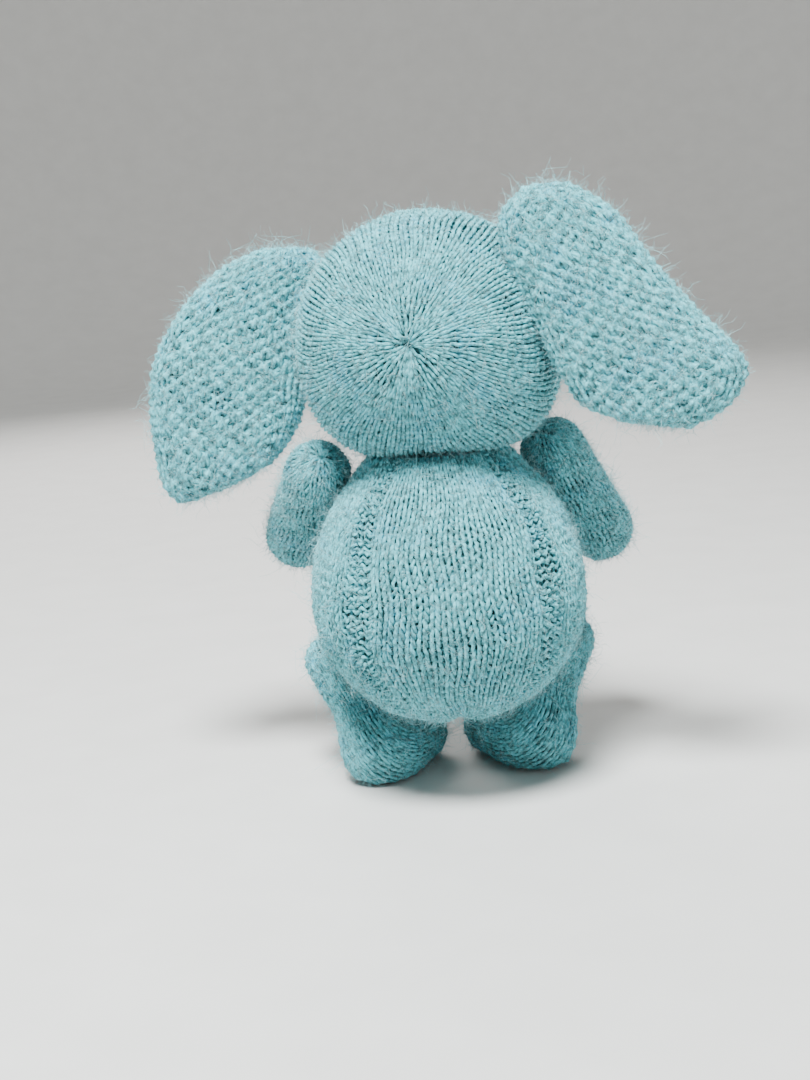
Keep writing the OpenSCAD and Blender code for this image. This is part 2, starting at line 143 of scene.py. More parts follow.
class Nodes:
    """A short way to build a material's node tree."""

    def __init__(self, name):
        self.material = bpy.data.materials.new(name)
        self.material.use_nodes = True
        self.tree = self.material.node_tree
        self.shader = self.tree.nodes["Principled BSDF"]

    def add(self, kind, inputs=None, **settings):
        made = self.tree.nodes.new(kind)
        for key, value in settings.items():
            setattr(made, key, value)
        for key, value in (inputs or {}).items():
            if isinstance(value, bpy.types.NodeSocket):
                self.tree.links.new(value, made.inputs[key])
            else:
                made.inputs[key].default_value = value
        return made

    def link(self, output, name):
        self.tree.links.new(output, self.shader.inputs[name])

    def set(self, **values):
        for key, value in values.items():
            self.shader.inputs[key.replace("_", " ")].default_value = value

    def coords(self, scale):
        where = self.add("ShaderNodeTexCoord")
        return self.add("ShaderNodeMapping", {0: where.outputs["Object"], "Scale": scale}).outputs[0]

    def noise(self, vector, scale, detail=3.0, roughness=0.55):
        values = {"Vector": vector, "Scale": scale, "Detail": detail, "Roughness": roughness}
        return self.add("ShaderNodeTexNoise", values).outputs[0]

    def math(self, operation, a, b=0.0):
        return self.add("ShaderNodeMath", {0: a, 1: b}, operation=operation).outputs[0]

    def ramp(self, value, stops):
        made = self.add("ShaderNodeValToRGB", {"Fac": value})
        bar = made.color_ramp.elements
        while len(bar) < len(stops):
            bar.new(0.5)
        for stop, (place, colour) in zip(bar, stops):
            stop.position = place
            stop.color = (*colour, 1)
        return made.outputs["Color"]

    def mix(self, factor, a, b, blend="MIX"):
        made = self.add("ShaderNodeMix", data_type="RGBA", blend_type=blend)
        for index, value in ((0, factor), (6, a), (7, b)):
            if isinstance(value, bpy.types.NodeSocket):
                self.tree.links.new(value, made.inputs[index])
            else:
                made.inputs[index].default_value = value if index == 0 else (*value, 1)
        return made.outputs[2]

    def bump(self, height, distance, strength=1.0):
        values = {"Height": height, "Distance": distance * MM, "Strength": strength}
        self.link(self.add("ShaderNodeBump", values).outputs[0], "Normal")


def scaled(colour, factor):
    return tuple(c * factor for c in colour)


def wool_material(name, lightness=1.0, on_yarn=True):
    """Heathered wool: patches of dye, pale and grey fibres along the yarn, plies and fuzz. On the yarn it
    also has a painted highlight on the crests and painted shade where the yarn dips. `lightness` scales
    every colour, and for the inside wool that scaling is painted shade.
    """
    n = Nodes(name)
    space = n.coords((1 / MM,) * 3)
    patches = n.noise(space, 0.16, 2.0)
    flecks = n.noise(space, 0.9, 4.0, 0.7)
    if on_yarn:
        yarn = n.add("ShaderNodeUVMap", uv_map="yarn").outputs[0]
        along = n.add("ShaderNodeMapping", {0: yarn, "Scale": (0.8, 7.0, 1.0)}).outputs[0]
        fibres = n.noise(along, 1.6, 4.0, 0.65)
        split = n.add("ShaderNodeSeparateXYZ", {0: yarn})
        turn = n.math("MULTIPLY", split.outputs[0], 4.2)
        round_yarn = n.math("MULTIPLY", split.outputs[1], 3 * 2 * math.pi)
        plies = n.math("SINE", n.math("ADD", turn, round_yarn))
    else:
        fibres = n.noise(space, 3.0, 4.0, 0.7)
        plies = n.math("SINE", n.math("MULTIPLY", fibres, 9.0))
    dye_and_painted_light = n.ramp(
        patches,
        [(0.32, scaled(WOOL_BLUE, lightness)), (0.48, scaled(WOOL, lightness)),
         (0.62, scaled(WOOL, 1.08 * lightness)), (0.78, scaled(WOOL_PALE, 0.9 * lightness))],
    )
    if on_yarn:
        sunk = n.add("ShaderNodeAttribute", attribute_name="sunk").outputs["Fac"]
        # Painted highlight: the shallow crests of the yarn are mixed towards pale.
        crest_painted_highlight = n.ramp(sunk, [(0.05, (0.5, 0.5, 0.5)), (0.35, (0, 0, 0))])
        dye_and_painted_light = n.mix(crest_painted_highlight, dye_and_painted_light, scaled(WOOL_PALE, 1.1 * lightness))
    pale = n.ramp(fibres, [(0.46, (0, 0, 0)), (0.62, (0.9, 0.9, 0.9))])
    dye_and_painted_light = n.mix(pale, dye_and_painted_light, scaled(WOOL_PALE, lightness))
    grey = n.ramp(flecks, [(0.40, (0.8, 0.8, 0.8)), (0.56, (0, 0, 0))])
    dye_and_painted_light = n.mix(grey, dye_and_painted_light, scaled(WOOL_GREY, lightness))
    if on_yarn:
        # Painted shade: the yarn darkens where it dips deep into the fabric.
        dye_and_painted_light = n.mix(1.0, dye_and_painted_light, n.ramp(sunk, [(0.25, (1, 1, 1)), (0.9, VALLEY_PAINTED_SHADE)]), "MULTIPLY")
    n.link(dye_and_painted_light, "Base Color")
    n.link(n.math("ADD", n.math("MULTIPLY", fibres, 0.2), 0.75), "Roughness")
    n.set(Sheen_Weight=0.25, Sheen_Roughness=0.45, Specular_IOR_Level=0.12)
    n.shader.inputs["Sheen Tint"].default_value = (0.5, 0.95, 1.0, 1)
    fuzz = n.noise(space, 2.8, 3.0, 0.8)
    height = n.math("ADD", n.math("MULTIPLY", plies, 0.22), n.math("MULTIPLY", fibres, 1.3))
    n.bump(n.math("ADD", height, n.math("MULTIPLY", fuzz, 1.6)), 0.2, 0.9)
    return n.material


def fibre_material():
    n = Nodes("loose_fibre_wool")
    tone = n.noise(n.coords((1 / MM,) * 3), 0.8)
    n.link(n.ramp(tone, [(0.35, WOOL_LOOSE[0]), (0.65, WOOL_LOOSE[1])]), "Base Color")
    n.set(Roughness=0.7, Specular_IOR_Level=0.3, Sheen_Weight=0.2)
    return n.material


def fibrefill_material():
    n = Nodes("white_fibrefill")
    strands = n.noise(n.coords((900, 900, 2400)), 1.0, 6.0, 0.7)
    n.link(n.ramp(strands, [(0.3, (0.70, 0.70, 0.67)), (0.7, (0.92, 0.92, 0.90))]), "Base Color")
    n.set(Roughness=0.95, Sheen_Weight=0.3)
    n.bump(strands, 0.4)
    return n.material


def fibreboard_material():
    n = Nodes("pressed_fibreboard")
    flakes = n.noise(n.coords((1500, 1500, 3000)), 1.0, 5.0, 0.7)
    n.link(n.ramp(flakes, [(0.3, (0.23, 0.13, 0.06)), (0.7, (0.45, 0.30, 0.16))]), "Base Color")
    n.link(n.math("ADD", n.math("MULTIPLY", flakes, 0.3), 0.55), "Roughness")
    n.bump(flakes, 0.06)
    return n.material


def steel_material():
    n = Nodes("zinc_plated_steel")
    scratches = n.noise(n.coords((400, 400, 6000)), 1.0, 4.0)
    n.link(n.ramp(scratches, [(0.3, (0.45, 0.46, 0.48)), (0.7, (0.62, 0.63, 0.66))]), "Base Color")
    n.link(n.math("ADD", n.math("MULTIPLY", scratches, 0.3), 0.2), "Roughness")
    n.set(Metallic=1.0)
    n.bump(scratches, 0.01)
    return n.material


def bead_material():
    n = Nodes("black_glass_bead")
    swirl = n.noise(n.coords((700,) * 3), 1.0, 2.0)
    n.link(n.ramp(swirl, [(0.3, (0.006, 0.006, 0.008)), (0.7, (0.018, 0.018, 0.022))]), "Base Color")
    n.link(n.math("ADD", n.math("MULTIPLY", swirl, 0.06), 0.05), "Roughness")
    n.set(Coat_Weight=0.6, Coat_Roughness=0.04)
    return n.material


def thread_material():
    n = Nodes("black_sewing_thread")
    twist = n.noise(n.coords((500, 4000, 4000)), 1.0, 3.0)
    n.link(n.ramp(twist, [(0.3, (0.01, 0.01, 0.012)), (0.7, (0.05, 0.05, 0.055))]), "Base Color")
    n.set(Roughness=0.7)
    n.bump(twist, 0.05)
    return n.material


def floor_material():
    n = Nodes("pale_floor")
    grain = n.noise(n.coords((60,) * 3), 1.0, 2.0)
    n.link(n.ramp(grain, [(0.3, (0.60, 0.59, 0.575)), (0.7, (0.63, 0.62, 0.605))]), "Base Color")
    n.set(Roughness=0.75)
    return n.material


yarn_wool = wool_material("knitted_wool_yarn")
seed_wool = wool_material("seed_stitch_yarn", 1.04)
lining_wool = wool_material("ear_lining_yarn", 1.06)
# The inside of the fabric: the same wool scaled dark, as painted shade between the stitches.
inner_wool_painted_shade = wool_material("felted_inside_wool_painted_shade", SKIN_PAINTED_SHADE, on_yarn=False)
loose_wool = fibre_material()
fibrefill_wool = fibrefill_material()

# ---------- meshes ----------


def make_object(name, points, quads, material, uv=None, triangles=()):
    """A smooth-shaded mesh from arrays of points in millimetres and of faces."""
    mesh = bpy.data.meshes.new(name)
    quads = np.asarray(quads, np.int32).reshape(-1, 4)
    triangles = np.asarray(triangles, np.int32).reshape(-1, 3)
    loops = np.concatenate([quads.ravel(), triangles.ravel()])
    totals = np.concatenate([np.full(len(quads), 4), np.full(len(triangles), 3)]).astype(np.int32)
    starts = np.concatenate([[0], np.cumsum(totals)[:-1]]).astype(np.int32)
    mesh.vertices.add(len(points))
    mesh.vertices.foreach_set("co", (np.asarray(points, float) * MM).astype(np.float32).ravel())
    mesh.loops.add(len(loops))
    mesh.loops.foreach_set("vertex_index", loops)
    mesh.polygons.add(len(totals))
    mesh.polygons.foreach_set("loop_start", starts)
    mesh.polygons.foreach_set("loop_total", totals)
    mesh.polygons.foreach_set("use_smooth", np.ones(len(totals), bool))
    if uv is not None:
        layer = mesh.uv_layers.new(name="yarn")
        layer.data.foreach_set("uv", np.asarray(uv, np.float32).ravel())
    mesh.update()
    mesh.validate()
    made = bpy.data.objects.new(name, mesh)
    bpy.context.scene.collection.objects.link(made)
    mesh.materials.append(material)
    return made


class Skin:
    """A closed surface as a grid of points: row 0 and the last row are its poles.

    `a` counts turns round the surface and `v` runs from 0 at the first row to 1 at the last,
    at an even pace along the surface.
    """

    def __init__(self, grid, lumps=0.25, even_rows=160):
        steps = np.linalg.norm(np.diff(grid, axis=0), axis=2).mean(1)
        place = np.concatenate([[0], np.cumsum(steps)])
        self.length = place[-1]
        wanted = np.linspace(0, self.length, even_rows)
        below = np.clip(np.searchsorted(place, wanted, side="right") - 1, 0, len(place) - 2)
        share = ((wanted - place[below]) / np.maximum(place[below + 1] - place[below], 1e-9))
        share = share[:, None, None]
        self.points = self.even_rings(grid[below] * (1 - share) + grid[below + 1] * share)
        self.normals = self.find_normals()
        self.points = self.points + self.normals * lumps * self.lumpiness()[..., None]
        self.normals = self.find_normals()

    @staticmethod
    def even_rings(grid):
        """The same rings with their points at an even pace round each one."""
        count = grid.shape[1]
        closed = np.concatenate([grid, grid[:, :1]], axis=1)
        steps = np.linalg.norm(np.diff(closed, axis=1), axis=2)
        result = grid.copy()
        for row, step in enumerate(steps):
            if step.sum() > 1e-6:
                place = np.concatenate([[0], np.cumsum(step)])
                wanted = np.arange(count) / count * place[-1]
                ring = closed[row]
                result[row] = np.stack([np.interp(wanted, place, ring[:, i]) for i in range(3)], -1)
        return result

    def find_normals(self):
        p = self.points
        round_it = np.roll(p, -1, axis=1) - np.roll(p, 1, axis=1)
        along = np.gradient(p, axis=0)
        normals = np.cross(round_it, along)
        normals[0] = normals[1].mean(0)
        normals[-1] = normals[-2].mean(0)
        normals = unit(normals)
        middle = p.reshape(-1, 3).mean(0)
        if ((p - middle) * normals).sum() < 0:
            normals = -normals
        return normals

    def lumpiness(self):
        """Gentle hand-stuffed unevenness, from -1 to 1."""
        x, y, z = np.moveaxis(self.points, -1, 0)
        waves = (np.sin(x / 4.1 + 1.3) * np.sin(y / 3.7 + 0.4) * np.sin(z / 4.6 + 2.1)
                 + 0.5 * np.sin(x / 2.3 + z / 3.1) * np.sin(y / 2.7 - z / 3.9))
        return waves / 1.5

    def sample(self, a, v):
        rows, columns = self.points.shape[:2]
        across = (np.asarray(a) % 1.0) * columns
        down = np.clip(v, 0, 1) * (rows - 1)
        c0 = np.floor(across).astype(int) % columns
        r0 = np.minimum(np.floor(down).astype(int), rows - 2)
        fc = (across - np.floor(across))[..., None]
        fr = (down - r0)[..., None]
        c1 = (c0 + 1) % columns

        def blend(field):
            top = field[r0, c0] * (1 - fc) + field[r0, c1] * fc
            low = field[r0 + 1, c0] * (1 - fc) + field[r0 + 1, c1] * fc
            return top * (1 - fr) + low * fr

        return blend(self.points), unit(blend(self.normals))

    def girth(self, v):
        ring, _ = self.sample(np.linspace(0, 1, 96, endpoint=False), np.full(96, v))
        return np.linalg.norm(np.roll(ring, -1, axis=0) - ring, axis=1).sum()


def skin_object(name, skin, sink, material, columns=96, rows=80):
    """The skin as one closed mesh, `sink` below the surface."""
    v = np.linspace(0, 1, rows)[1:-1]
    a = np.arange(columns) / columns
    aa, vv = np.meshgrid(a, v)
    points, normals = skin.sample(aa, vv)
    points = points - normals * sink
    first, first_normal = (field[0] for field in skin.sample(np.zeros(1), np.zeros(1)))
    last, last_normal = (field[0] for field in skin.sample(np.zeros(1), np.ones(1)))
    ends = np.array([first - first_normal * sink, last - last_normal * sink])
    count = points.shape[0]
    i, j = np.meshgrid(np.arange(count - 1), np.arange(columns), indexing="ij")
    k = (j + 1) % columns
    upper, lower = i * columns, (i + 1) * columns
    quads = np.stack([upper + j, upper + k, lower + k, lower + j], -1)
    j = np.arange(columns)
    k = (j + 1) % columns
    top, low = count * columns, count * columns + 1
    caps = np.concatenate([
        np.stack([np.full(columns, top), k, j], -1),
        np.stack([np.full(columns, low), (count - 1) * columns + j, (count - 1) * columns + k], -1),
    ])
    points = np.concatenate([points.reshape(-1, 3), ends])
    points[:, 2] = np.maximum(points[:, 2], FABRIC_FLOOR)
    made = make_object(name, points, quads.reshape(-1, 4), material, triangles=caps)
    face_outwards(made)
    return made


def face_outwards(made):
    """Flips every face of a closed mesh if its normals look inwards."""
    co = np.zeros(len(made.data.vertices) * 3)
    made.data.vertices.foreach_get("co", co)
    co = co.reshape(-1, 3)
    made.data.calc_loop_triangles()
    corners = np.zeros(len(made.data.loop_triangles) * 3, np.int32)
    made.data.loop_triangles.foreach_get("vertices", corners)
    a, b, c = (co[corners[i::3]] for i in range(3))
    if (np.cross(a, b) * c).sum() < 0:
        made.data.flip_normals()


def tube_arrays(centre, normal, radius, sides, closed, twist=0.0):
    """Points, quads and UVs of one tube. `normal` is any direction across it at each point."""
    count = len(centre)
    if closed:
        tangent = unit(np.roll(centre, -1, axis=0) - np.roll(centre, 1, axis=0))
        step = np.linalg.norm(np.roll(centre, -1, axis=0) - centre, axis=1)
    else:
        tangent = unit(np.gradient(centre, axis=0))
        step = np.linalg.norm(np.diff(centre, axis=0), axis=1)
    side_way = unit(np.cross(tangent, normal))
    out_way = np.cross(side_way, tangent)
    angle = 2 * np.pi * np.arange(sides) / sides
    radius = np.broadcast_to(radius, (count,))[:, None, None]
    rings = centre[:, None] + radius * (
        np.cos(angle)[None, :, None] * out_way[:, None]
        + np.sin(angle)[None, :, None] * side_way[:, None])
    length = np.concatenate([[0], np.cumsum(step)])
    spans = count if closed else count - 1
    i, j = np.meshgrid(np.arange(spans), np.arange(sides), indexing="ij")
    k, n = (j + 1) % sides, (i + 1) % count
    quads = np.stack([i * sides + j, i * sides + k, n * sides + k, n * sides + j], -1).reshape(-1, 4)
    u = np.stack([length[i], length[i], length[i + 1], length[i + 1]], -1)
    w = np.stack([j, j + 1, j + 1, j], -1) / sides
    uv = np.stack([u + twist, w], -1).reshape(-1, 2)
    return rings.reshape(-1, 3), quads, uv


def join_tubes(name, tubes, material):
    """One object from tubes, each of points, quads, UVs and how deep each point has sunk, 0 to 1, which
    drives the yarn's painted highlight and painted shade.
    """
    points, quads, uvs, depths, offset = [], [], [], [], 0
    for tube_points, tube_quads, uv, sunk in tubes:
        points.append(tube_points)
        quads.append(tube_quads + offset)
        uvs.append(uv)
        depths.append(sunk)
        offset += len(tube_points)
    points = np.concatenate(points)
    points[:, 2] = np.maximum(points[:, 2], 0.0)
    made = make_object(name, points, np.concatenate(quads), material, np.concatenate(uvs))
    # The depth of each point, read by the wool material for its painted highlight and painted shade.
    sunk = made.data.attributes.new("sunk", "FLOAT", "POINT")
    sunk.data.foreach_set("value", np.concatenate(depths).astype(np.float32))
    return made


def knit_rows(skin, v_from, v_to, stitch_w=STITCH_W, row_h=ROW_H, purl=None, base_count=None,
              loft=1.0, plump=1.0):
    """Rows of interlocked loops that follow the skin, as tubes.

    `purl(a, v, stitch, row)` is 1 where a stitch shows its back, else 0.
    """
    if base_count is None:
        widest = max(skin.girth(v) for v in np.linspace(0, 1, 24))
        base_count = 8 * max(1, round(widest / stitch_w / 8))
    rows = max(1, round((v_to - v_from) * skin.length / row_h))
    pitch = (v_to - v_from) / rows
    tubes = []
    for row in range(rows):
        v_row = v_from + (row + 0.5) * pitch
        girth = skin.girth(v_row)
        count = base_count
        while girth / count < MIN_STITCH and count > 6:
            count = round(count * DECREASE)
        width = girth / count
        t = 2 * np.pi * np.arange(count * STITCH_POINTS) / STITCH_POINTS
        stitch = np.arange(count * STITCH_POINTS) // STITCH_POINTS
        turns = t / (2 * np.pi * count)
        wander = (0.22 * np.sin(6 * np.pi * turns + 21 * v_row)
                  + 0.16 * np.sin(10 * np.pi * turns - 33 * v_row))
        phase = turns + (LOOP_LEAN * np.sin(2 * t) / (2 * np.pi) + wander) / count
        jitter = 1 + UNEVEN * rng.standard_normal(count)[stitch]
        v = v_row + LOOP_REACH * pitch * np.cos(t) * jitter
        side = np.ones(len(t))
        if purl is not None:
            middle = (stitch + 0.5) / count
            side = 1 - 2.0 * purl(middle, v_row, stitch, row)
            before = np.roll(side, STITCH_POINTS)
            after = np.roll(side, -STITCH_POINTS)
            place = np.arange(len(t)) % STITCH_POINTS / STITCH_POINTS
            mixed = np.where(place < 0.5, before + (side - before) * smooth(place + 0.5),
                             side + (after - side) * smooth(place - 0.5))
            side = np.where(side == np.where(place < 0.5, before, after), side, mixed)
        depth = loft * (0.12 + 0.14 * width) * np.cos(2 * t) * side * jitter
        points, normals = skin.sample(phase, v)
        sway = STRAY * rng.standard_normal((len(t), 3))
        centre = points - normals * (YARN_SINK + depth[:, None]) + sway
        thickness = (0.15 + 0.11 * width) * plump
        thickness = thickness * (1 + 0.07 * np.sin(t / 3.1 + row) + 0.04 * rng.standard_normal(len(t)))
        tube = tube_arrays(centre, normals, thickness, YARN_SIDES, True, 3.7 * row)
        # How deep each point lies, from 0 to 1: the wool paints a highlight on the shallow points and shade
        # on the deep ones.
        below = points[:, None] - tube[0].reshape(-1, YARN_SIDES, 3)
        sunk = (below * normals[:, None]).sum(-1) - SHALLOWEST
        tubes.append((*tube, np.clip(sunk / (DEEPEST - SHALLOWEST), 0, 1).ravel()))
    return tubes


def fuzz(name, skin, count, length=(0.8, 2.8), long_share=0.07, where=None):
    """Fine loose fibres that stand off the knitting, each a wavy three-sided hair."""
    steps, sides = HAIR_STEPS, HAIR_SIDES
    a, v = rng.random(count), rng.random(count)
    area = np.array([skin.girth(x) for x in np.linspace(0, 1, 32)])
    keep = rng.random(count) < np.interp(v, np.linspace(0, 1, 32), area) / area.max()
    if where is not None:
        keep &= where(a, v)
    a, v = a[keep], v[keep]
    count = len(a)
    start, normal = skin.sample(a, v)
    loose = unit(rng.standard_normal((count, 3)))
    heading = unit(normal * (0.15 + 0.7 * rng.random((count, 1))) + loose * 0.9)
    heading = heading + normal * np.maximum(0.1 - (heading * normal).sum(1, keepdims=True), 0)
    curl = np.cross(heading, unit(rng.standard_normal((count, 3))))
    curl = curl * rng.uniform(0.3, 1.5, (count, 1))
    size = rng.uniform(*length, count) * np.where(rng.random(count) < long_share, LONG_HAIR, 1.0)
    wave = np.cross(heading, curl) * rng.uniform(0.1, 0.7, (count, 1))
    s = np.linspace(0, 1, steps)[None, :, None]
    centre = start[:, None] + size[:, None, None] * (
        heading[:, None] * s + curl[:, None] * s ** 2 * 0.5 - normal[:, None] * HAIR_ROOT
        + wave[:, None] * np.sin(5.5 * s))
    tangent = unit(np.gradient(centre, axis=1))
    across = unit(np.cross(tangent, loose[:, None] + 0.01))
    third = np.cross(across, tangent)
    angle = 2 * np.pi * np.arange(sides) / sides
    radius = HAIR_R * (1 - 0.6 * s[..., None])
    rings = centre[:, :, None] + radius * (
        np.cos(angle)[None, None, :, None] * third[:, :, None]
        + np.sin(angle)[None, None, :, None] * across[:, :, None])
    h, i, j = np.meshgrid(np.arange(count), np.arange(steps - 1), np.arange(sides), indexing="ij")
    k = (j + 1) % sides
    base = h * steps * sides + i * sides
    quads = np.stack([base + j, base + k, base + sides + k, base + sides + j], -1).reshape(-1, 4)
    points = rings.reshape(-1, 3)
    points[:, 2] = np.maximum(points[:, 2], HAIR_FLOOR)
    return make_object(name, points, quads, loose_wool)


# ---------- torso ----------


LIP_RISE, LIP_WIDTH = 1.4, 3.0        # the fabric rises round the head's underside
PINCH_DEPTH, PINCH_R = 1.6, 5.0       # where the closing gathers the fabric, under the torso
CLEFT_DEPTH, CLEFT_WIDTH = 1.1, 1.8   # the shallow groove above it, at the back
LADDER_ANGLE = 44 / 360    # the two purl ladders lie this many turns either side of the back
LADDER_WIDTH = 0.017       # half their width, in turns


def torso_skin():
    """The egg, with the pinched closing at the bottom and a shallow cleft up its back."""
    top_angle = math.asin((neck_z - torso_z) / torso_high)
    angles = np.concatenate([np.linspace(-math.pi / 2, 0, 60), np.linspace(0, top_angle, 60)[1:]])
    radius = torso_r * np.cos(angles)
    height = torso_z + np.where(angles < 0, torso_low, torso_high) * np.sin(angles)
    shoulder = radius[-1]
    closing = np.linspace(1, 0, 16)[1:]
    radius = np.concatenate([radius, shoulder * closing])
    height = np.concatenate([height, np.full(len(closing), neck_z)])
    height = height + LIP_RISE * np.exp(-((radius - shoulder) / LIP_WIDTH) ** 2) * (height > torso_z)
    turn = 2 * np.pi * np.arange(160) / 160
    x = radius[:, None] * np.cos(turn)
    y = radius[:, None] * np.sin(turn)
    z = np.broadcast_to(height[:, None], x.shape)
    below = z < torso_z
    pinch = PINCH_DEPTH * np.exp(-(x ** 2 + y ** 2) / PINCH_R ** 2)
    cleft = CLEFT_DEPTH * np.exp(-(x / CLEFT_WIDTH) ** 2) * smooth((torso_z - 12 - z) / 8) * (y > 0)
    lift = np.where(below, pinch + cleft, 0)
    return Skin(np.stack([x, y, z + lift], -1), lumps=0.3)


def torso_purl(a, v, stitch, row):
    """Two ladders of purl stitches run up the back, either side of its middle."""
    from_back = np.abs(a - 0.25)
    return (np.abs(from_back - LADDER_ANGLE) < LADDER_WIDTH).astype(float)


def build_torso():
    skin = torso_skin()
    base = skin_object("torso_fabric", skin, SKIN_SINK, inner_wool_painted_shade, 128, 100)
    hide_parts("torso_cover")
    first, middle, last = 0.012, 0.5, 0.955
    pieces = [base]
    for name, low, high in (("torso_knit_lower", first, middle), ("torso_knit_upper", middle, last)):
        piece = join_tubes(name, knit_rows(skin, low, high, purl=torso_purl, base_count=74), yarn_wool)
        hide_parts("torso_cover")
        pieces.append(piece)
    pieces.append(fuzz("torso_fuzz", skin, 12000, where=lambda a, v: v < last - 0.05))
    for piece in pieces:
        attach(piece, "torso")


# ---------- head and trunk ----------

turn_head = np.array([[math.cos(head_yaw), math.sin(head_yaw), 0],
                      [-math.sin(head_yaw), math.cos(head_yaw), 0],
                      [0, 0, 1]])


def in_head(points):
    """From the head's own frame, whose crown looks along +Y, to the toy's."""
    return points @ turn_head.T


def head_ring(angle, a):
    degrees, brow = math.degrees(angle), math.degrees(brow_angle)
    fade = 1 - smooth((degrees - jowl_fade) / (brow - jowl_fade))
    fullness = jowl * smooth(degrees / jowl_full) * fade
    power = np.where(np.sin(a) < 0, 1 - fullness, 1.0)
    x = head_rx * math.sin(angle) * np.sign(np.cos(a)) * np.abs(np.cos(a)) ** power
    y = np.full(len(a), head_ry * math.cos(angle))
    drop = face_drop * smooth((degrees - drop_from) / (brow - drop_from))
    tall = head_rz * np.where(np.sin(a) < 0, math.sin(angle) ** (1 - fullness / 2), math.sin(angle))
    z = head_z - drop + tall * np.sign(np.sin(a)) * np.abs(np.sin(a)) ** power
    return np.stack([x, y, z], -1)


def trunk_point(u):
    return ((1 - u) ** 3 * trunk_start + 3 * u * (1 - u) ** 2 * trunk_bend_1
            + 3 * u * u * (1 - u) * trunk_bend_2 + u ** 3 * trunk_end)


def trunk_ring(u, a):
    ahead = trunk_point(u + 0.01) - trunk_point(u - 0.01)
    pitch = math.atan2(ahead[1], -ahead[0]) * smooth(u / 0.35)
    past_round = max(0, u - trunk_round) / (1 - trunk_round)
    taper = math.sqrt(max(0, 1 - past_round ** 2))
    along = trunk_tip_r + (trunk_base_r - trunk_tip_r) * (1 - u)
    flare = (1 - u) ** trunk_fillet_power
    wide = (along + (head_rx * math.sin(brow_angle) - trunk_base_r) * flare) * taper
    tall = (along + (head_rz * math.sin(brow_angle) - trunk_base_r) * flare) * taper
    middle = trunk_point(u)
    h = tall * np.sin(a)
    y = middle[0] + h * math.sin(pitch)
    z = middle[1] + h * math.cos(pitch)
    return np.stack([wide * np.cos(a), y, z], -1)


def head_skin():
    a = 2 * np.pi * np.arange(160) / 160
    rings = [head_ring(angle, a) for angle in np.linspace(0, brow_angle, 90)]
    rings += [trunk_ring(u, a) for u in np.linspace(0, 1, 60)[1:]]
    grid = np.stack(rings)
    over = grid[..., 2] - head_floor
    edge = 0.5              # how softly the underside flattens
    grid[..., 2] = head_floor + 0.5 * (over + np.sqrt(over ** 2 + edge ** 2))
    return Skin(in_head(grid), lumps=0.3)


def build_head():
    skin = head_skin()
    base = skin_object("head_fabric", skin, SKIN_SINK, inner_wool_painted_shade, 128, 140)
    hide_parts("head_cover")
    pieces = [base]
    first, split, last = 0.014, 0.36, 0.988
    for name, low, high in (("head_knit_crown", first, split), ("head_knit_face", split, last)):
        piece = join_tubes(name, knit_rows(skin, low, high, base_count=72), yarn_wool)
        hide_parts("head_cover")
        pieces.append(piece)
    pieces.append(fuzz("head_fuzz", skin, 12500))
    for piece in pieces:
        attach(piece, "head")


# ---------- ears ----------

# Each ear is flat in the head's frame and passes through its joint. Its rows are knitted upwards
# from its lower edge, between the inner edge, sewn to the head, and the free outer edge. The two
# edges are [outwards, up] from the head's centre, from the lower edge to the top.
EARS = {
    LEFT: dict(
        inner=[(34.0, -23.4), (29.4, -18.4), (26.6, -13.4), (24.2, -5.5), (22.2, 2.0), (20.4, 9.0),
               (19.6, 13.6), (21.4, 17.2)],
        outer=[(51.6, -30.4), (54.6, -26.6), (55.7, -21.0), (56.0, -12.0), (54.0, -2.6), (48.6, 6.2),
               (40.8, 13.4), (31.5, 17.6)],
        lean=math.radians(13)),
    RIGHT: dict(
        inner=[(33.5, -16.2), (27.6, -12.6), (23.6, -6.0), (20.8, 1.0), (18.0, 8.0), (15.6, 14.6),
               (15.6, 20.0), (20.5, 24.6)],
        outer=[(46.0, -18.6), (52.4, -14.6), (55.6, -9.0), (53.4, -4.6), (47.4, 2.2), (41.0, 10.4),
               (34.8, 19.4), (27.0, 25.0)],
        lean=math.radians(15)),
}
EAR_THICK = (3.2, 4.5)      # half thickness at the lower edge and the top, and in the middle
EAR_CORNER = 0.85           # below 1 squares off the ear's section
EAR_CLOSE = 0.09            # the share of the ear, at each end, over which it closes
SEED_FROM, SEED_TO = 0.05, 0.45      # the seed stitch lies between these turns, on the back
BORDER_ROWS = 4             # ridged rows below the seed stitch
FOLD_BEFORE, FOLD_AFTER = 3.0, 3.5   # how far ear_fold's two points lie either side of the sewn edge


def ear_root(side):
    """The middle of the ear's sewn edge, which is its joint, in the head's frame."""
    name = ("left" if side == LEFT else "right") + "_ear_flap"
    joint = next(joint for joint in frame["joints"] if joint["name"] == name)
    out, back, up = np.array(joint["pos_m"]) / MM @ turn_head
    return np.array([out * side, back, up])


def curve_through(points, count):
    """A smooth curve through the points, as `count` points at an even pace."""
    p = np.asarray(points, float)
    p = np.concatenate([[2 * p[0] - p[1]], p, [2 * p[-1] - p[-2]]])
    pieces = []
    for i in range(1, len(p) - 2):
        t = np.linspace(0, 1, 20, endpoint=False)[:, None]
        pieces.append(0.5 * (2 * p[i] + (p[i + 1] - p[i - 1]) * t
                             + (2 * p[i - 1] - 5 * p[i] + 4 * p[i + 1] - p[i + 2]) * t ** 2
                             + (3 * p[i] - p[i - 1] - 3 * p[i + 1] + p[i + 2]) * t ** 3))
    line = np.concatenate(pieces + [p[-2:-1]])
    place = np.concatenate([[0], np.cumsum(np.linalg.norm(np.diff(line, axis=0), axis=1))])
    wanted = np.linspace(0, place[-1], count)
    return np.stack([np.interp(wanted, place, line[:, i]) for i in range(2)], -1)


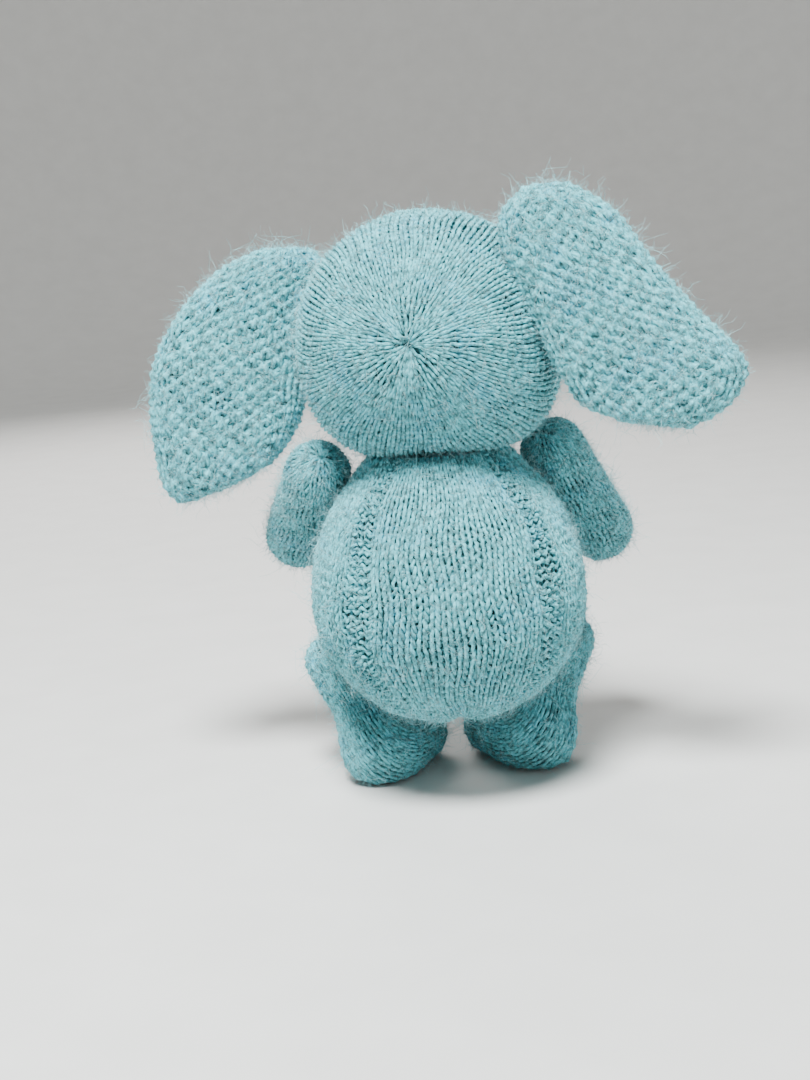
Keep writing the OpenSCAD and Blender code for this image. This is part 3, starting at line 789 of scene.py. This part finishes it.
def ear_skin(side):
    ear = EARS[side]
    plane = ear_root(side)[1]
    levels = 90
    inner = curve_through(ear["inner"], levels)
    outer = curve_through(ear["outer"], levels)
    turn = 2 * np.pi * np.arange(144) / 144
    grid = []
    for i in range(levels):
        t = i / (levels - 1)
        closing = math.sqrt(max(0, 1 - (1 - min(1, min(t, 1 - t) / EAR_CLOSE)) ** 2))
        middle = (inner[i] + outer[i]) / 2
        half = (outer[i] - inner[i]) / 2
        thick = (EAR_THICK[0] + (EAR_THICK[1] - EAR_THICK[0]) * math.sin(math.pi * t)) * closing
        is_open = 1 if 0 < i < levels - 1 else 0      # the first and last rings are points
        c, s = np.cos(turn), np.sin(turn)
        breadth = is_open * (0.93 + 0.07 * closing)
        across = np.sign(c) * np.abs(c) ** EAR_CORNER * breadth
        through = np.sign(s) * np.abs(s) ** EAR_CORNER * thick
        flat = middle + across[:, None] * half
        grid.append(np.stack([flat[:, 0], plane + through, head_z + flat[:, 1]], -1))
    grid = np.stack(grid)
    if side == RIGHT:
        grid[..., 0] *= -1
    return Skin(in_head(grid), lumps=0.25)


def ear_purl(a, v, stitch, row):
    """Seed stitch on the back of the ear, over a lower border of ridged rows."""
    seed = ((stitch + row) % 2).astype(float)
    seed = np.where((a > SEED_FROM) & (a < SEED_TO), seed, 0.0)
    return np.full(len(a), float(row % 2)) if row < BORDER_ROWS else seed


def ear_fold(side):
    """Two points either side of the ear's sewn edge."""
    ear = EARS[side]
    out = np.array([math.cos(ear["lean"]), 0, math.sin(ear["lean"])])
    root = ear_root(side)
    start, end = root - FOLD_BEFORE * out, root + FOLD_AFTER * out
    fold = np.stack([start, end])
    fold[:, 0] *= side
    return in_head(fold) * MM


def build_ear(side, body):
    skin = ear_skin(side)
    base = skin_object(body + "_fabric", skin, SKIN_SINK, inner_wool_painted_shade, 96, 70)
    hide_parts(body + "_back", body + "_front")
    wadding = skin_object(body + "_filling", skin, FILL_SINK, fibrefill_wool, 64, 40)
    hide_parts(body + "_wadding")
    tubes = knit_rows(skin, 0.01, 0.985, stitch_w=2.3, row_h=1.55, purl=ear_purl,
                      loft=1.35, plump=1.38)
    knit = join_tubes(body + "_knit", tubes, seed_wool)
    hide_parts(body + "_back", body + "_front")
    hair = fuzz(body + "_fuzz", skin, 8500, length=(0.8, 2.6), long_share=0.14)
    start, end = ear_fold(side)
    for piece in (base, wadding, knit, hair):
        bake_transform(piece)


SEW_COUNT, SEW_LOWEST, SEW_HIGHEST = 7, 7, -8   # stitches, and their ends down the sewn edge
SEW_INSET = 2.6             # how far the stitches lie inside the sewn edge
SEW_WIDTH, SEW_SLANT, SEW_RISE = 2.4, 1.4, 1.9  # one stitch: across, down, and off the fabric
SEW_YARN_R, SEW_POINTS, SEW_SIDES = 0.34, 9, 6


def ear_stitches(side, body):
    """Overcast stitches that sew the ear's inner edge to the head, on the back."""
    ear = EARS[side]
    down = np.array([math.sin(ear["lean"]), 0, -math.cos(ear["lean"])])
    out = np.array([math.cos(ear["lean"]), 0, math.sin(ear["lean"])])
    root = ear_root(side)
    off_fabric = in_head(np.tile([0, 0.2, 1.0], (SEW_POINTS, 1)))
    tubes = []
    for number, along in enumerate(np.linspace(SEW_HIGHEST, SEW_LOWEST, SEW_COUNT)):
        s = np.linspace(0, 1, SEW_POINTS)[:, None]
        middle = root + along * down - SEW_INSET * out
        arch = np.sin(np.pi * s)
        line = middle + (s - 0.5) * (SEW_WIDTH * out + SEW_SLANT * down) + arch * np.array([0, SEW_RISE, 0])
        line[:, 0] *= side
        tube = tube_arrays(in_head(line), off_fabric, SEW_YARN_R, SEW_SIDES, False, 2.0 * number)
        # Depth 0 everywhere: the painted highlight of the crests lies all over these stitches, and no
        # painted shade.
        tubes.append((*tube, np.zeros(len(tube[0]))))
    piece = join_tubes(body + "_stitches", tubes, lining_wool)
    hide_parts(body + "_seam_yarn")
    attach(piece, "head")


# ---------- limbs ----------


def torso_point(tilt):
    h = torso_high if tilt > 0 else torso_low
    k = math.hypot(torso_r * math.cos(tilt), h * math.sin(tilt))
    return torso_r ** 2 * math.cos(tilt) / k, torso_z + h * h * math.sin(tilt) / k


class JointFrame:
    """A limb joint's frame: Z out of the torso, X down the limb, -Y ahead."""

    def __init__(self, side, tilt, azimuth, swing):
        self.side = side
        radius, height = torso_point(tilt)
        self.origin = np.array([radius * math.cos(azimuth), -radius * math.sin(azimuth), height])
        ct, st, ca, sa = math.cos(tilt), math.sin(tilt), math.cos(azimuth), math.sin(azimuth)
        out = np.array([ct * ca, -ct * sa, st])
        hanging, level = np.array([st * ca, -st * sa, -ct]), np.array([-sa, -ca, 0])
        down = math.cos(swing) * hanging + math.sin(swing) * level
        self.axes = np.stack([down, np.cross(out, down), out])

    def place(self, local):
        points = self.origin + local @ self.axes
        points[..., 0] *= self.side
        return points


def bar_distance(p, start, end, r1, r2):
    """Distance to the surface of a round-ended bar, negative inside."""
    start, end = np.array(start, float), np.array(end, float)
    span = end - start
    t = np.clip(((p - start) @ span) / (span @ span), 0, 1)
    return np.linalg.norm(p - start - t[..., None] * span, axis=-1) - (r1 + (r2 - r1) * t)


def soft_max(a, b, k):
    h = np.clip(0.5 + 0.5 * (a - b) / k, 0, 1)
    return b + (a - b) * h + k * h * (1 - h)


def soft_min(a, b, k):
    return -soft_max(-a, -b, k)


def cast(centres, headings, distance):
    """The surface points that rays from inside the solid reach."""
    reach = np.zeros(headings.shape[:-1])
    for _ in range(60):
        reach -= distance(centres + reach[..., None] * headings)
    return centres + reach[..., None] * headings


def rings_along(stations, distance):
    """A grid of surface points from stations of (centre, axis, across, tilt towards the axis)."""
    turn = 2 * np.pi * np.arange(128) / 128
    centres, headings = [], []
    for centre, axis, across, tilt in stations:
        centre, axis, across = (np.array(part, float) for part in (centre, axis, across))
        flat = np.cos(turn)[:, None] * across + np.sin(turn)[:, None] * np.array([0, 0, 1.0])
        headings.append(math.cos(tilt) * flat + math.sin(tilt) * axis)
        centres.append(np.tile(centre, (len(turn), 1)))
    return cast(np.stack(centres), np.stack(headings), distance)


QUARTER = math.pi / 2
EDGE_BLEND, ANKLE_BLEND = 1.2, 6.0    # how softly a limb meets the torso, and a leg its foot
BEND_BULGE = 2.0                      # how far the fan's points lie out at the ankle's corner
DOWN, ACROSS, AHEAD = (1, 0, 0), (0, 1, 0), (0, -1, 0)


def arm_skin(frame_of_arm):
    end_x = arm_head_x + arm_length

    def distance(p):
        bar = bar_distance(p, (arm_head_x, 0, arm_top_z), (end_x, 0, arm_end_z), arm_top_r, arm_end_r)
        return soft_max(bar, turn_gap - p[..., 2], EDGE_BLEND)

    top = (arm_head_x, 0, arm_top_z)
    stations = [(top, DOWN, ACROSS, -tilt) for tilt in np.linspace(QUARTER, 0, 20)]
    for x in np.linspace(arm_head_x, end_x, 40)[1:-1]:
        z = arm_top_z + (arm_end_z - arm_top_z) * (x - arm_head_x) / arm_length
        stations.append(((x, 0, z), DOWN, ACROSS, 0))
    stations += [((end_x, 0, arm_end_z), DOWN, ACROSS, tilt) for tilt in np.linspace(0, QUARTER, 20)]
    return Skin(frame_of_arm.place(rings_along(stations, distance)), lumps=0.2)


def leg_skin(frame_of_leg):
    hip_height = torso_point(hip_tilt)[1]
    foot_x = (hip_height - foot_z - foot_line_z * math.sin(-hip_tilt)) / math.cos(hip_tilt)

    def distance(p):
        shin = bar_distance(p, (leg_head_x, 0, leg_top_z), (foot_x - 1, 0, ankle_z), leg_top_r, leg_ankle_r)
        foot = bar_distance(p, (foot_x, heel_back, foot_line_z), (foot_x, -toe_ahead, foot_line_z),
                            foot_r, foot_r)
        both = soft_max(soft_min(shin, foot, ANKLE_BLEND), turn_gap - p[..., 2], EDGE_BLEND)
        return soft_max(both, -frame_of_leg.place(p)[..., 2], EDGE_BLEND)

    bend_x, bend_y = foot_x - 9.4, -8.4       # just outside the bend between leg and foot
    top = (leg_head_x, 0, leg_top_z)
    stations = [(top, DOWN, ACROSS, -tilt) for tilt in np.linspace(QUARTER, 0, 20)]
    for x in np.linspace(leg_head_x, bend_x, 24)[1:]:
        z = leg_top_z + (ankle_z - leg_top_z) * (x - leg_head_x) / (bend_x - leg_head_x)
        stations.append(((x, 0, z), DOWN, ACROSS, 0))
    for angle in np.linspace(0, QUARTER, 26)[1:]:
        c, s = math.cos(angle), math.sin(angle)
        reach = -bend_y * c ** 2 + (foot_x - bend_x) * s ** 2 + BEND_BULGE * math.sin(2 * angle)
        z = ankle_z + (foot_line_z - ankle_z) * angle / QUARTER
        stations.append(((bend_x + reach * s, bend_y + reach * c, z), (c, -s, 0), (s, c, 0), 0))
    for y in np.linspace(bend_y, -toe_ahead, 4)[1:]:
        stations.append(((foot_x, y, foot_line_z), AHEAD, DOWN, 0))
    stations += [((foot_x, -toe_ahead, foot_line_z), AHEAD, DOWN, tilt)
                 for tilt in np.linspace(0, QUARTER, 20)[1:]]
    return Skin(frame_of_leg.place(rings_along(stations, distance)), lumps=0.2)


def build_limb(body, skin, hairs):
    base = skin_object(body + "_fabric", skin, SKIN_SINK, inner_wool_painted_shade, 72, 72)
    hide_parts(body + "_cover")
    knit = join_tubes(body + "_knit", knit_rows(skin, 0.02, 0.98), yarn_wool)
    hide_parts(body + "_cover")
    for piece in (base, knit, fuzz(body + "_fuzz", skin, hairs)):
        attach(piece, body)


# ---------- the CAD pieces that stay ----------


def paint(node, material):
    solid = bpy.data.objects[node]
    if not solid.material_slots:
        solid.data.materials.append(material)
    for place in solid.material_slots:
        place.link = "OBJECT"
        place.material = material


def paint_cad_nodes():
    fibreboard = fibreboard_material()
    steel = steel_material()
    finishes = {"_stuffing": fibrefill_wool, "_wadding": fibrefill_wool, "_disc": fibreboard,
                "_washer": steel, "_pin": steel, "_thread": thread_material(),
                "_eye": bead_material(), "_seam_yarn": lining_wool,
                "_cover": inner_wool_painted_shade, "_back": inner_wool_painted_shade, "_front": inner_wool_painted_shade}
    for name in frame["nodes"]:
        for ending, material in finishes.items():
            if name.endswith(ending):
                paint(name, material)


# ---------- stage ----------


def area_light(name, place, target, size, watts, colour):
    data = bpy.data.lights.new(name, "AREA")
    data.shape, data.size, data.energy, data.color = "DISK", size, watts, colour
    lamp = bpy.data.objects.new(name, data)
    bpy.context.scene.collection.objects.link(lamp)
    lamp.location = place
    lamp.rotation_mode = "QUATERNION"
    lamp.rotation_quaternion = (Vector(target) - Vector(place)).to_track_quat("-Z", "Y")


def build_floor():
    """A round pale floor that curves up into a plain wall on every side."""
    flat_r, bend_r, wall_top, sides = 0.9, 0.5, 1.3, 96
    bend = np.linspace(0, math.pi / 2, 17)
    radius = np.concatenate([[0.01, 0.3], flat_r + bend_r * np.sin(bend), [flat_r + bend_r]])
    height = np.concatenate([[0, 0], bend_r * (1 - np.cos(bend)), [wall_top]])
    turn = 2 * np.pi * np.arange(sides) / sides
    points = np.stack([radius[:, None] * np.cos(turn), radius[:, None] * np.sin(turn),
                       np.broadcast_to(height[:, None], (len(radius), sides))], -1)
    i, j = np.meshgrid(np.arange(len(radius) - 1), np.arange(sides), indexing="ij")
    k = (j + 1) % sides
    quads = np.stack([i * sides + j, (i + 1) * sides + j, (i + 1) * sides + k, i * sides + k], -1)
    middle = len(radius) * sides
    j = np.arange(sides)
    hub = np.stack([np.full(sides, middle), j, (j + 1) % sides], -1)
    points = np.concatenate([points.reshape(-1, 3), [[0, 0, 0]]]) / MM
    floor = make_object("floor", points, quads.reshape(-1, 4), floor_material(), triangles=hub)
    floor.location.z = -0.0002
    return floor


def build_stage():
    build_floor()
    world = bpy.data.worlds.new("studio")
    bpy.context.scene.world = world
    world.use_nodes = True
    background = world.node_tree.nodes["Background"]
    background.inputs["Color"].default_value = (1.0, 0.90, 0.84, 1)
    background.inputs["Strength"].default_value = 0.13
    target = (0, 0, 0.06)
    area_light("key", (0.09, 0.30, 0.68), target, 0.24, 19.5, (0.95, 1.0, 1.0))
    area_light("fill", (-0.5, 0.35, 0.25), target, 0.5, 0.7, (0.94, 0.97, 1.0))
    area_light("front_fill", (0.15, -0.6, 0.4), target, 0.4, 3.4, (1.0, 0.98, 0.96))


def build_camera():
    """Behind the toy, slightly above it and slightly to its left, rolled a little."""
    distance, height_angle, side_angle = 300.0, math.radians(13), math.radians(2.7)
    roll = math.radians(4.5)
    target = np.array([0, 0, 37.0])
    right_share, down_share = 0.0274, 0.0324   # the target's place right of and below the middle
    away = np.array([math.cos(height_angle) * math.sin(side_angle),
                     math.cos(height_angle) * math.cos(side_angle), math.sin(height_angle)])
    place = target + distance * away
    sight = -away
    level = unit(np.cross(sight, [0, 0, 1.0]))
    upright = np.cross(level, sight)
    right = math.cos(roll) * level - math.sin(roll) * upright
    up = math.cos(roll) * upright + math.sin(roll) * level
    forward = unit(sight - right_share * right + down_share * up)
    right = unit(right - (right @ forward) * forward)
    up = np.cross(right, forward)
    data = bpy.data.cameras.new("camera")
    data.sensor_width, data.lens = 36.0, 53.5
    camera = bpy.data.objects.new("camera", data)
    bpy.context.scene.collection.objects.link(camera)
    turned = Matrix((right, up, -forward)).transposed().to_4x4()
    turned.translation = Vector(place * MM)
    camera.matrix_world = turned
    data.clip_start, data.clip_end = 0.01, 20
    bpy.context.scene.camera = camera


build_camera()
build_stage()
paint_cad_nodes()
build_torso()
build_head()
for side, name in ((LEFT, "left"), (RIGHT, "right")):
    build_ear(side, name + "_ear")
    ear_stitches(side, name + "_ear")
    shoulder = JointFrame(side, shoulder_tilt, shoulder_azimuth, arm_swing[side])
    build_limb(name + "_arm", arm_skin(shoulder), 4200)
    hip = JointFrame(side, hip_tilt, hip_azimuth, 0.0)
    build_limb(name + "_leg", leg_skin(hip), 4600)
